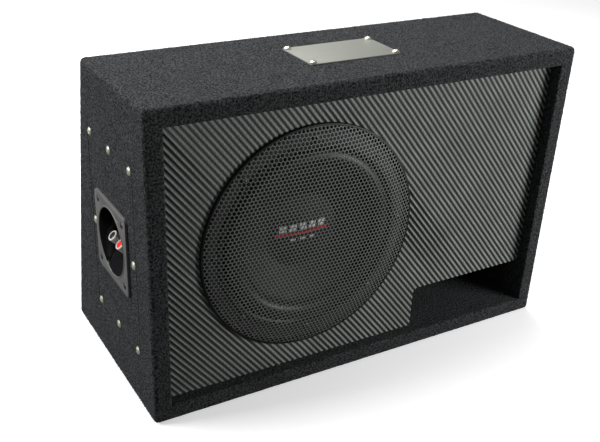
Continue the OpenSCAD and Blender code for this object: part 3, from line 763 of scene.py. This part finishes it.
def onOutside(centre, normal):
    backGap = (baseHigh.y - leanAll * centre[:, 2] - centre[:, 1]) * math.cos(math.atan(leanAll))
    gaps = np.stack([centre[:, 0] - outerLow.x, outerHigh.x - centre[:, 0], outerHigh.z - centre[:, 2],
                     centre[:, 1] - outerLow.y, backGap], axis=1)
    near = gaps.min(axis=1) < 0.0019
    middleOf = np.array(middle)
    outward = ((centre - middleOf) * normal).sum(axis=1) > 0
    return near & outward & (normal[:, 2] > -0.6)


def inRecess(centre, normal):
    toAxis = np.stack([centre[:, 0], centre[:, 2] - middle.z], axis=1)
    inward = normal[:, 0] * toAxis[:, 0] + normal[:, 2] * toAxis[:, 1] < -0.01
    return inward & (np.abs(normal[:, 1]) < 0.5)


def buildFibres(sources, name, material):
    rng = np.random.default_rng(fibres["seed"])
    corners = np.concatenate([part[0] for part in sources])
    normals = np.concatenate([part[1] for part in sources])
    area = np.concatenate([part[2] for part in sources])
    pick = rng.choice(len(area), fibres["count"], p=area / area.sum())
    u, v = rng.random((2, fibres["count"]))
    flip = u + v > 1
    u, v = np.where(flip, 1 - u, u), np.where(flip, 1 - v, v)
    tri = corners[pick]
    place = tri[:, 0] + u[:, None] * (tri[:, 1] - tri[:, 0]) + v[:, None] * (tri[:, 2] - tri[:, 0])
    normal = normals[pick]
    covered = np.zeros(len(place), bool)
    for low, high in (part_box("badge_plate"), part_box("terminal_cup"), *solidsOf("access_screws")):
        edge = fibres["clear"] * mm
        covered |= np.all((place > np.array(low) - edge) & (place < np.array(high) + edge), axis=1)
    low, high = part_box("access_carpet")
    inner = np.maximum(np.maximum(low.y - place[:, 1], place[:, 1] - high.y),
                       np.maximum(low.z - place[:, 2], place[:, 2] - high.z))
    covered |= (np.abs(inner) < fibres["seam"] * mm) & (place[:, 0] < high.x)
    place, normal = place[~covered], normal[~covered]
    count = len(place)
    drift = rng.normal(size=(count, 3))
    drift -= (drift * normal).sum(axis=1)[:, None] * normal
    drift /= np.linalg.norm(drift, axis=1)[:, None]
    way = normal + drift * fibres["lean"] * rng.random((count, 1))
    way /= np.linalg.norm(way, axis=1)[:, None]
    side = np.cross(way, normal + drift * 0.3 + rng.normal(size=(count, 3)) * 0.3)
    side /= np.linalg.norm(side, axis=1)[:, None]
    size = rng.uniform(0.5, 1.0, (count, 1))
    root = place - normal * fibres["root"] * mm
    verts = np.stack([root - side * fibres["width"] * mm / 2, root + side * fibres["width"] * mm / 2,
                      root + way * fibres["length"] * mm * size], axis=1).reshape(-1, 3)
    mesh = bpy.data.meshes.new(name)
    mesh.vertices.add(count * 3)
    mesh.vertices.foreach_set("co", verts.astype(np.float32).ravel())
    mesh.loops.add(count * 3)
    mesh.loops.foreach_set("vertex_index", np.arange(count * 3, dtype=np.int32))
    mesh.polygons.add(count)
    mesh.polygons.foreach_set("loop_start", np.arange(0, count * 3, 3, dtype=np.int32))
    tone = mesh.attributes.new("fibreTone", "FLOAT", "POINT")
    tone.data.foreach_set("value", np.repeat(rng.random(count) ** 3, 3).astype(np.float32))
    grid = math.ceil(math.sqrt(count))
    cell = np.stack([np.arange(count) % grid, np.arange(count) // grid], axis=1) / grid
    shape = np.array([[0.1, 0.1], [0.9, 0.1], [0.5, 0.9]]) / grid
    layer = mesh.uv_layers.new(name="OFBake")
    layer.data.foreach_set("uv", (cell[:, None] + shape[None]).astype(np.float32).ravel())
    mesh.update(calc_edges=True)
    mesh.validate()
    return finishPiece(linked(name, mesh), material, "enclosure", "carpet")


def fibreMaterial():
    material, tree, bsdf = newMaterial("looseFibres")
    tone = tree.nodes.new("ShaderNodeAttribute")
    tone.attribute_name = "fibreTone"
    coord = objectCoord(tree)
    patch = rangeNode(tree, noiseNode(tree, coord, 60, 3), 0.3, 0.7, 0.8, 1.2)
    colour = mixColour(tree, tone.outputs["Fac"], (0.012, 0.0125, 0.013), (0.20, 0.205, 0.21))
    link(tree, scaled(tree, colour, patch), bsdf.inputs["Base Color"])
    setInputs(bsdf, {"Roughness": 0.8, "Specular IOR Level": 0.2})
    bump(tree, noiseNode(tree, coord, 3000, 2), bsdf, 0.2, 0.0001)
    return material


pileSources = [facesOf(wrap, onOutside), facesOf(accessPiece, onOutside), facesOf(recess, inRecess)]
pilePiece = buildFibres(pileSources, "carpetFibres", fibreMaterial())
print("carpet fibres:", len(pilePiece.data.polygons))

# ribbed vinyl

ribs = {"pitch": 5.8, "angle": 39.1, "samples": 8, "floor": 0.08}


def buildVinyl():
    # flat outline taken from the CAD sheet's front, sliced along the ribs, then raised
    bm = flattened("baffle_skin")
    front = skinLow.y
    back = skinHigh.y
    a = math.radians(ribs["angle"])
    across = Vector((math.cos(a), 0, math.sin(a)))
    pitch = ribs["pitch"] * mm
    corners = [across.dot(v.co) for v in bm.verts]
    first = math.floor(min(corners) / pitch)
    last = math.ceil(max(corners) / pitch)
    step = pitch / ribs["samples"]
    for i in range(int((last - first) * ribs["samples"])):
        at = first * pitch + i * step
        bmesh.ops.bisect_plane(bm, geom=bm.verts[:] + bm.edges[:] + bm.faces[:], dist=1e-7,
                               plane_co=across * at, plane_no=across)
    depth = (back - front) * (1 - ribs["floor"])
    for vert in bm.verts:
        if abs(vert.co.y - front) < 1e-6:
            phase = (across.dot(vert.co) / pitch) % 1
            crest = 0.5 - 0.5 * math.cos(2 * math.pi * phase)
            vert.co.y = front + depth * (1 - crest)
    piece = newPiece("ribbedVinyl", bm, 75)
    layer = piece.data.attributes.new("ribHeight", "FLOAT", "POINT")
    rises = [min(max(1 - (vert.co.y - front) / depth, 0), 1) for vert in piece.data.vertices]
    layer.data.foreach_set("value", rises)
    return finishPiece(piece, mats["vinyl"], "enclosure", "ribbed_vinyl", "baffle_skin")


vinyl = buildVinyl()
print("ribbed vinyl:", len(vinyl.data.polygons), "faces")

driverSpot = (Vector(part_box("magnet")[0]) + Vector(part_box("magnet")[1])) / 2
skinFace = skinLow.y
sheet = {"pitch": 4.88, "hole": 4.12, "sides": 12, "flat": 109.0, "edge": 133.0, "lastCell": 137.0,
         "squashFrom": 133.2, "squash": 0.3, "rimInner": 133.7, "thick": 0.55, "drop": 7.1, "soft": 4.0}
grilleLow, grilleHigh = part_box("grille")
grilleR = (grilleHigh.x - grilleLow.x) / 2
grilleFront = grilleLow.y


def toWorld(x, z, y):
    return Vector((driverSpot.x + x, y, driverSpot.z + z))


def grilleDepth(radius):
    # how far the sheet lies behind its flat face
    flat = sheet["flat"] * mm
    edge = sheet["edge"] * mm
    drop = sheet["drop"] * mm
    soft = sheet["soft"] * mm
    if radius < flat - soft:
        return 0.0
    if radius < flat + soft:
        t = (radius - flat + soft) / (2 * soft)
        return drop / (edge - flat) * soft * t * t
    return drop * (radius - flat) / (edge - flat)


def buildGrille():
    pitch = sheet["pitch"] * mm
    rows = pitch * math.sqrt(3) / 2
    hexR = pitch / math.sqrt(3)
    holeR = sheet["hole"] * mm / 2
    sides = sheet["sides"]
    edge = sheet["lastCell"] * mm
    bm = bmesh.new()
    known = {}

    def at(x, z):
        key = (round(x * 1e7), round(z * 1e7))
        for dx in (-1, 0, 1):
            for dz in (-1, 0, 1):
                if (key[0] + dx, key[1] + dz) in known:
                    return known[(key[0] + dx, key[1] + dz)]
        known[key] = bm.verts.new((x, 0, z))
        return known[key]

    count = int(edge / rows) + 2
    cells = 0
    for j in range(-count, count + 1):
        for i in range(-count, count + 1):
            cx = (i + 0.5 * (j % 2)) * pitch
            cz = j * rows
            if math.hypot(cx, cz) > edge:
                continue
            cells += 1
            corners = [at(cx + hexR * math.cos(math.pi / 6 + k * math.pi / 3),
                          cz + hexR * math.sin(math.pi / 6 + k * math.pi / 3)) for k in range(6)]
            hole = [bm.verts.new((cx + holeR * math.cos(2 * math.pi * k / sides + math.pi / 6), 0,
                                  cz + holeR * math.sin(2 * math.pi * k / sides + math.pi / 6)))
                    for k in range(sides)]
            per = sides // 6
            for k in range(6):
                a, b = corners[k], corners[(k + 1) % 6]
                span = [hole[(k * per + m) % sides] for m in range(per + 1)]
                bm.faces.new((a, span[1], span[0]))
                bm.faces.new((a, b, span[1]))
                bm.faces.new((b, span[2], span[1]))
    front = bm.faces[:]
    squashFrom = sheet["squashFrom"] * mm
    for vert in bm.verts:
        # the last cells are drawn in, under the rim
        radius = math.hypot(vert.co.x, vert.co.z)
        drawn = radius if radius < squashFrom else squashFrom + (radius - squashFrom) * sheet["squash"]
        ratio = drawn / radius
        vert.co = toWorld(vert.co.x * ratio, vert.co.z * ratio, grilleFront + grilleDepth(drawn))
    bmesh.ops.recalc_face_normals(bm, faces=bm.faces)
    copy = bmesh.ops.duplicate(bm, geom=bm.verts[:] + bm.edges[:] + bm.faces[:])
    twin = copy["vert_map"]
    back = [f for f in copy["geom"] if isinstance(f, bmesh.types.BMFace)]
    backVerts = {v for f in back for v in f.verts}
    for vert in backVerts:
        vert.co.y += sheet["thick"] * mm
    for f in back:
        f.normal_flip()
    border = [e for f in front for e in f.edges if len(e.link_faces) == 1]
    for e in set(border):
        a, b = e.verts
        bm.faces.new((a, b, twin[b], twin[a]))
    piece = newPiece("perforatedGrille", bm, 30)
    return piece, cells


grille, cells = buildGrille()
finishPiece(grille, mats["mesh"], "enclosure", "grille_steel", "grille")
grille.data.materials.append(mats["rim"])
for face in grille.data.polygons:
    # painted shade: the hole walls and the back take the near-black rim paint, standing in for the
    # shade inside the holes
    if face.normal.y > -0.8:
        face.material_index = 1
print("grille holes:", cells, "faces:", len(grille.data.polygons))


def onDriver(bm):
    # turns a lathe about Z so its height runs into the cabinet from the vinyl's face
    turn = Matrix(((1, 0, 0, 0), (0, 0, 1, 0), (0, -1, 0, 0), (0, 0, 0, 1)))
    return moved(bm, Matrix.Translation((driverSpot.x, skinFace, driverSpot.z)) @ turn)


def arcProfile(cx, cy, radius, start, end, count):
    return [(cx + radius * math.cos(math.radians(start + (end - start) * i / count)),
             cy + radius * math.sin(math.radians(start + (end - start) * i / count)))
            for i in range(count + 1)]


def buildRim():
    edge = sheet["rimInner"] * mm
    front = grilleFront + grilleDepth(edge) - skinFace
    r = grilleR
    profile = [(edge, front - 0.2 * mm)]
    profile += arcProfile(r - 1.5 * mm, front + 1.35 * mm, 1.5 * mm, -85, 0, 6)
    profile += [(r, -0.05 * mm), (r - 0.9 * mm, -0.05 * mm), (r - 0.9 * mm, front + 1.9 * mm),
                (edge, front + 1.2 * mm)]
    piece = newPiece("grilleRim", onDriver(lathe(profile, 180)))
    return finishPiece(piece, mats["rim"], "enclosure", "grille_steel")


buildRim()

# moving driver parts

driverShape = {"coneEdge": 86.0, "coneFlat": 82.0, "coneEdgeU": 4.2, "neckR": 25.95, "neckU": 30.0,
               "ledgeU": 3.0, "rollMid": 96.0, "rollBack": 9.2, "rollR": 13.4, "rollThick": 1.2,
               "outerR": 109.9, "lipR": 82.1, "capR": 46.0, "capRise": 5.0,
               "steps": ((70, 0.35), (58, 0.3)), "stepWidth": 1.5}


def radialBlend(piece):
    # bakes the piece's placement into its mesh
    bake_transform(piece)


def buildSurround():
    s = driverShape
    mid, back, big = s["rollMid"] * mm, s["rollBack"] * mm, s["rollR"] * mm
    thin = s["rollThick"] * mm
    rise = back - s["ledgeU"] * mm
    half = math.degrees(math.acos(rise / big))
    outerArc = arcProfile(mid, back, big, -90 - half, -90 + half, 22)
    innerArc = arcProfile(mid, back, big - thin, -90 + half * 0.96, -90 - half * 0.96, 22)
    lipU = s["ledgeU"] * mm
    lip, outer = s["lipR"] * mm, s["outerR"] * mm
    profile = ([(lip, lipU)] + outerArc + [(outer, lipU - 0.9 * mm), (outer, lipU - 0.05 * mm)]
               + innerArc + [(lip, lipU + 1.1 * mm)])
    piece = newPiece("surroundRoll", onDriver(lathe(profile, 160)))
    dress(piece.data, mats["rubber"])
    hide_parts("surround")
    radialBlend(piece)
    return piece


def buildCone():
    s = driverShape
    profile = []
    for i in range(15):
        t = i / 14
        radius = s["coneFlat"] + (s["neckR"] - s["coneFlat"]) * t
        depth = s["coneEdgeU"] + (s["neckU"] - s["coneEdgeU"]) * t
        # two shallow stiffening steps
        depth += sum(rise * math.exp(-((radius - at) / s["stepWidth"]) ** 2) for at, rise in s["steps"])
        profile.append((radius * mm, depth * mm))
    front = [(s["coneEdge"] * mm, s["coneEdgeU"] * mm)] + profile
    behind = [(radius, depth + 1.5 * mm) for radius, depth in reversed(front)]
    piece = newPiece("pressedCone", onDriver(lathe(front + behind, 160)))
    return finishPiece(piece, mats["cone"], "cone_assembly", "cone_pulp", "cone")


def capDepth(radius):
    s = driverShape
    slope = (s["neckU"] - s["coneEdgeU"]) / (s["coneFlat"] - s["neckR"])
    seat = s["coneEdgeU"] + (s["coneFlat"] - s["capR"]) * slope
    return (seat - s["capRise"] * math.cos(min(radius / s["capR"], 1) * math.pi / 2) ** 1.4) * mm


def buildDustCap():
    radii = [driverShape["capR"] * i / 24 for i in range(25)]
    front = [(radius * mm, capDepth(radius)) for radius in radii]
    behind = [(radius, depth + 0.8 * mm) for radius, depth in reversed(front)]
    piece = newPiece("dustCap", onDriver(lathe(front + behind, 128, closed=False)))
    return finishPiece(piece, mats["cone"], "cone_assembly", "cone_pulp", "dust_cap")


# a plain printed mark: five blocks over a stripe, with three short bars below
mark = {"blocks": 5, "blockW": 9.0, "blockH": 9.0, "blockGap": 12.6, "blockZ": 7.0,
        "stripeHalf": 34.0, "stripeZ": -0.8, "stripeH": 3.4, "barZ": -8.0, "barW": 7.0, "barH": 2.4,
        "lift": 0.15}


def buildPrint(name, outlines, material):
    bm = bmesh.new()
    for outline in outlines:
        top = []
        low = []
        for x, z in outline:
            depth = capDepth(math.hypot(x, z))
            top.append(bm.verts.new(toWorld(x * mm, z * mm, skinFace + depth - mark["lift"] * mm)))
            low.append(bm.verts.new(toWorld(x * mm, z * mm, skinFace + depth + 0.1 * mm)))
        count = len(top)
        bm.faces.new(top)
        bm.faces.new(list(reversed(low)))
        for i in range(count):
            j = (i + 1) % count
            bm.faces.new((top[i], low[i], low[j], top[j]))
    piece = newPiece(name, bm, 30)
    return finishPiece(piece, material, "cone_assembly", "cone_pulp")


buildSurround()
buildCone()
buildDustCap()


def bar(centreX, centreZ, width, height, parts):
    # one rectangle in narrow strips, so it follows the dome
    made = []
    for i in range(parts):
        x0 = centreX - width / 2 + width * i / parts
        x1 = x0 + width / parts - 0.01
        z0, z1 = centreZ - height / 2, centreZ + height / 2
        made.append([(x0, z0), (x1, z0), (x1, z1), (x0, z1)])
    return made


blocks = []
for i in range(mark["blocks"]):
    shift = (i - (mark["blocks"] - 1) / 2) * mark["blockGap"]
    blocks += bar(shift, mark["blockZ"], mark["blockW"], mark["blockH"], 4)
for i in range(3):
    blocks += bar((i - 1) * mark["blockGap"], mark["barZ"], mark["barW"], mark["barH"], 3)
buildPrint("printedBlocks", blocks, mats["whitePrint"])
stripe = bar(0, mark["stripeZ"], mark["stripeHalf"] * 2, mark["stripeH"], 20)
buildPrint("printedStripe", stripe, mats["redPrint"])


def buildFlexing(node, material):
    piece = newPiece(node + ".flex", welded(node), 40)
    dress(piece.data, material)
    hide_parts(node)
    radialBlend(piece)


buildFlexing("spider", mats["cloth"])
buildFlexing("tinsel_leads", mats["brass"])
print("driver's moving parts done")

recess = {"wide": 0.34, "deep": 0.7, "taper": 0.55}


def phillipsHead(headR, headH, recessR):
    # domed head about +Z with its seat at zero and a cross recess
    rimH = headH * 0.35
    domeH = headH - rimH
    ball = (headR * headR + domeH * domeH) / (2 * domeH)
    profile = [(0, headH)]
    for i in range(1, 11):
        radius = headR * i / 10
        profile.append((radius, headH - (ball - math.sqrt(ball * ball - radius * radius))))
    profile += [(headR, 0), (0, 0)]
    head = toObject(lathe(profile, 40, closed=False), "head")
    bm = bmesh.new()
    wide = recessR * recess["wide"]
    deep = headH * recess["deep"]
    for turn in (0, math.pi / 2):
        part = bmesh.new()
        bmesh.ops.create_cube(part, size=1)
        for vert in part.verts:
            taper = 1.0 if vert.co.z > 0 else recess["taper"]
            vert.co = Vector((vert.co.x * 2 * recessR * taper, vert.co.y * 2 * wide * taper,
                              headH - deep / 2 + vert.co.z * deep * 1.2 + deep * 0.1))
        merge(bm, moved(part, Matrix.Rotation(turn, 4, "Z")))
    cut(head, toObject(bm, "cross"))
    result = head.data
    bpy.data.objects.remove(head)
    return result


def placeScrews(name, node, headR, headH, recessR, outward, finish, slotName, seed):
    # one joined piece for the group, each head turned its own way
    random.seed(seed)
    base = phillipsHead(headR * mm, headH * mm, recessR * mm)
    bm = bmesh.new()
    for low, high in solidsOf(node):
        centre = (low + high) / 2
        axis = Vector(outward)
        tip = centre.copy()
        for i in range(3):
            if abs(axis[i]) > 0.5:
                tip[i] = high[i] if axis[i] > 0 else low[i]
        seat = tip - axis * headH * mm
        spin = Matrix.Rotation(random.uniform(0, math.pi), 4, "Z")
        turn = facing(axis)
        temp = base.copy()
        temp.transform(Matrix.Translation(seat) @ turn @ spin)
        bm.from_mesh(temp)
        shank = bmesh.new()
        length = (high - low).dot(Vector([abs(a) for a in axis])) - headH * mm
        shankR = headR * 0.38 * mm
        bmesh.ops.create_cone(shank, segments=16, radius1=shankR, radius2=shankR, depth=length,
                              cap_ends=True)
        merge(bm, moved(shank, Matrix.Translation(seat - axis * length / 2) @ turn))
    return finishPiece(newPiece(name, bm), mats[finish], "enclosure", slotName, node)


# head radius and height, recess radius, the way the heads face, finish, slot, seed
screwGroups = (
    ("accessPanelScrews", "access_screws", 4.8, 2.8, 3.1, (-1, 0, 0), "zinc", "zinc_screw", 3),
    ("cupScrews", "terminal_screws", 3.7, 2.2, 2.3, (-1, 0, 0), "blackScrew", "black_screw", 5),
    ("badgeScrews", "badge_screws", 4.3, 3.1, 2.6, (0, 0, 1), "nickel", "nickel", 7),
    ("basketScrews", "driver_screws", 4.4, 2.4, 2.8, (0, -1, 0), "blackScrew", "black_screw", 9),
)
for group in screwGroups:
    placeScrews(*group)
print("screws done")

cup = {"eased": 0.5, "dishR": 39.5, "dishFrom": 0.4, "beadR": 39.95, "beadHalf": 0.9, "beadRise": 0.65}


def buildCup():
    piece = softened("terminal_cup", mats["flange"], "enclosure", "cup_plastic", cup["eased"] * mm)
    piece.data.materials.append(mats["dish"])
    low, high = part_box("terminal_cup")
    centre = (low + high) / 2
    for face in piece.data.polygons:
        radius = math.hypot(face.center.y - centre.y, face.center.z - centre.z)
        if face.center.x > low.x + cup["dishFrom"] * mm and radius < cup["dishR"] * mm:
            face.material_index = 1
    return piece


def buildCupLip():
    # raised bead round the dish's mouth
    low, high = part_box("terminal_cup")
    centre = (low + high) / 2
    profile = []
    for i in range(9):
        a = math.pi * i / 8
        profile.append(((cup["beadR"] + cup["beadHalf"] * math.cos(a)) * mm,
                        cup["beadRise"] * math.sin(a) * mm))
    spot = Matrix.Translation((low.x, centre.y, centre.z)) @ facing(Vector((-1, 0, 0)))
    piece = newPiece("cupMouthBead", moved(lathe(profile, 96), spot), 50)
    return finishPiece(piece, mats["flange"], "enclosure", "cup_plastic")


cap = {"length": 13.55, "radius": 6.4, "bore": 3.04, "mouthR": 4.6, "knurl": 0.22, "knurls": 24}


def buildCap(side, insertMaterial, insertSlot):
    # knurled nickel cap and its coloured disc, along the post's tilted axis
    low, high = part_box(side + "_cap")
    centre = (low + high) / 2
    axis = Vector((-1, 0, 1)).normalized()
    radius = cap["radius"] * mm
    bore = cap["bore"] * mm
    mouth = cap["mouthR"] * mm
    half = cap["length"] * mm / 2
    profile = [(bore, -half), (radius - 0.5 * mm, -half), (radius, -half + 0.5 * mm),
               (radius, -half + 1.6 * mm), (radius, half - 2.8 * mm),
               (radius - 0.5 * mm, half - 2.4 * mm),
               (radius, half - 2.0 * mm), (radius, half - 0.6 * mm), (radius - 0.6 * mm, half),
               (mouth, half), (mouth, half - 2.0 * mm), (0, half - 2.0 * mm)]
    inner = [(0, half - 3.9 * mm), (bore, half - 3.9 * mm)]
    bm = lathe(profile + inner, 96)
    for vert in bm.verts:
        r = math.hypot(vert.co.x, vert.co.y)
        if abs(r - radius) < 1e-6 and vert.co.z < half - 2.7 * mm:
            around = math.atan2(vert.co.y, vert.co.x)
            r2 = radius - cap["knurl"] * mm * (0.5 + 0.5 * math.cos(around * cap["knurls"]))
            vert.co.x *= r2 / r
            vert.co.y *= r2 / r
    turn = facing(axis)
    knob = newPiece(side + "CapKnurled", moved(bm, Matrix.Translation(centre) @ turn), 40)
    finishPiece(knob, mats["capNickelPaintedReflection"], side + "_knob", "nickel", side + "_cap")
    iLow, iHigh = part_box(side + "_insert")
    iCentre = (iLow + iHigh) / 2
    disc = [(0, 0.85 * mm), (3.4 * mm, 0.8 * mm), (4.25 * mm, 0.45 * mm), (4.5 * mm, 0),
            (4.5 * mm, -0.85 * mm), (0, -0.85 * mm)]
    bm = moved(lathe(disc, 48, closed=False), Matrix.Translation(iCentre) @ turn)
    insert = newPiece(side + "CapDisc", bm, 40)
    finishPiece(insert, insertMaterial, side + "_knob", insertSlot, side + "_insert")


buildCup()
buildCupLip()
buildCap("black", mats["black"], "black_plastic")
buildCap("red", mats["red"], "red_plastic")
for side in ("black", "red"):
    softened(side + "_washer", mats["nickel"], side + "_clamp", "nickel", 0.15 * mm)
    softened(side + "_bush", mats[side], "enclosure", side + "_plastic", 0.3 * mm)
print("terminal cup and posts done")

badge = {"corner": 3.0, "edge": 0.35}


def buildBadge():
    low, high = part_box("badge_plate")
    corner = badge["corner"] * mm
    bm = bmesh.new()
    outline = []
    for sx, sy, start in ((1, 1, 0), (-1, 1, 90), (-1, -1, 180), (1, -1, 270)):
        cx = (high.x - corner) if sx > 0 else (low.x + corner)
        cy = (high.y - corner) if sy > 0 else (low.y + corner)
        for k in range(9):
            a = math.radians(start + k * 90 / 8)
            outline.append((cx + corner * math.cos(a), cy + corner * math.sin(a)))
    top = [bm.verts.new((x, y, high.z)) for x, y in outline]
    face = bm.faces.new(top)
    down = bmesh.ops.extrude_face_region(bm, geom=[face])
    for vert in [v for v in down["geom"] if isinstance(v, bmesh.types.BMVert)]:
        vert.co.z = low.z
    rim = [e for e in bm.edges if all(abs(v.co.z - high.z) < 1e-7 for v in e.verts)]
    easeEdges(bm, rim, badge["edge"] * mm)
    piece = newPiece("badgePlate", bm, 40)
    return finishPiece(piece, mats["badge"], "enclosure", "badge_aluminium", "badge_plate")


buildBadge()

# CAD pieces that keep their shape and take a finish

finishes = {
    "mdf": "board", "pine": "pine", "carpet": "carpet", "foam": "foam", "nickel": "nickel",
    "brass": "brass", "red_wire": "red", "black_wire": "black", "basket_paint": "basket",
    "plated_steel": "steel", "ferrite": "ferrite", "black_plastic": "black", "red_plastic": "red",
    "surround_rubber": "rubber", "former_aluminium": "foil", "copper": "copper",
    "ring_plastic": "rim", "black_screw": "blackScrew",
}
slots = {entry["node"]: entry["material_slot"] for entry in frame["record"]["subparts"]}
for name, obj in nodes.items():
    if obj.hide_render:
        continue
    key = finishes.get(slots.get(name))
    if key:
        dress(obj.data, mats[key])
    else:
        print("no finish for", name, slots.get(name))
baffle = nodes["baffle"].data
baffle.materials.append(mats["basket"])
portLow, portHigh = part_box("port_lining")
for face in baffle.polygons:
    # the cut edges round the port's mouth are painted
    centre = face.center
    if abs(face.normal.y) < 0.5 and centre.x > portLow.x and centre.z < portHigh.z + 0.001:
        face.material_index = 1
print("finishes set")
